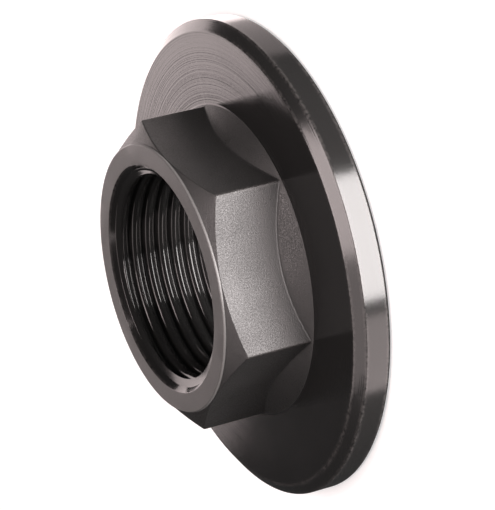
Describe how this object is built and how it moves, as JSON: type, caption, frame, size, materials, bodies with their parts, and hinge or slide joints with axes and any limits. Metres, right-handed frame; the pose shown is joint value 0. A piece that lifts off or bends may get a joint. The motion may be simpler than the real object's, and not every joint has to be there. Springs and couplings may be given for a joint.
{
  "type": "flanged back nut",
  "caption": "Moulded plastic back nut: a chamfered hexagon on a wide round flange with a bevelled rim, and a parallel pipe thread right through.",
  "frame": {"origin": "centre of the flange's seat, on the thread's axis", "axes": "+Z along the thread's axis, from the seat to the hexagon's end face; a corner of the hexagon lies on +X and a flat faces +Y"},
  "size_m": [0.059, 0.059, 0.0147],
  "materials": {
    "black_nylon": "black glass-filled nylon: spark-textured flats, satin faces with fine turning rings, and a glossy thread"
  },
  "bodies": {
    "root": {"back_nut": "black_nylon"}
  },
  "joints": []
}
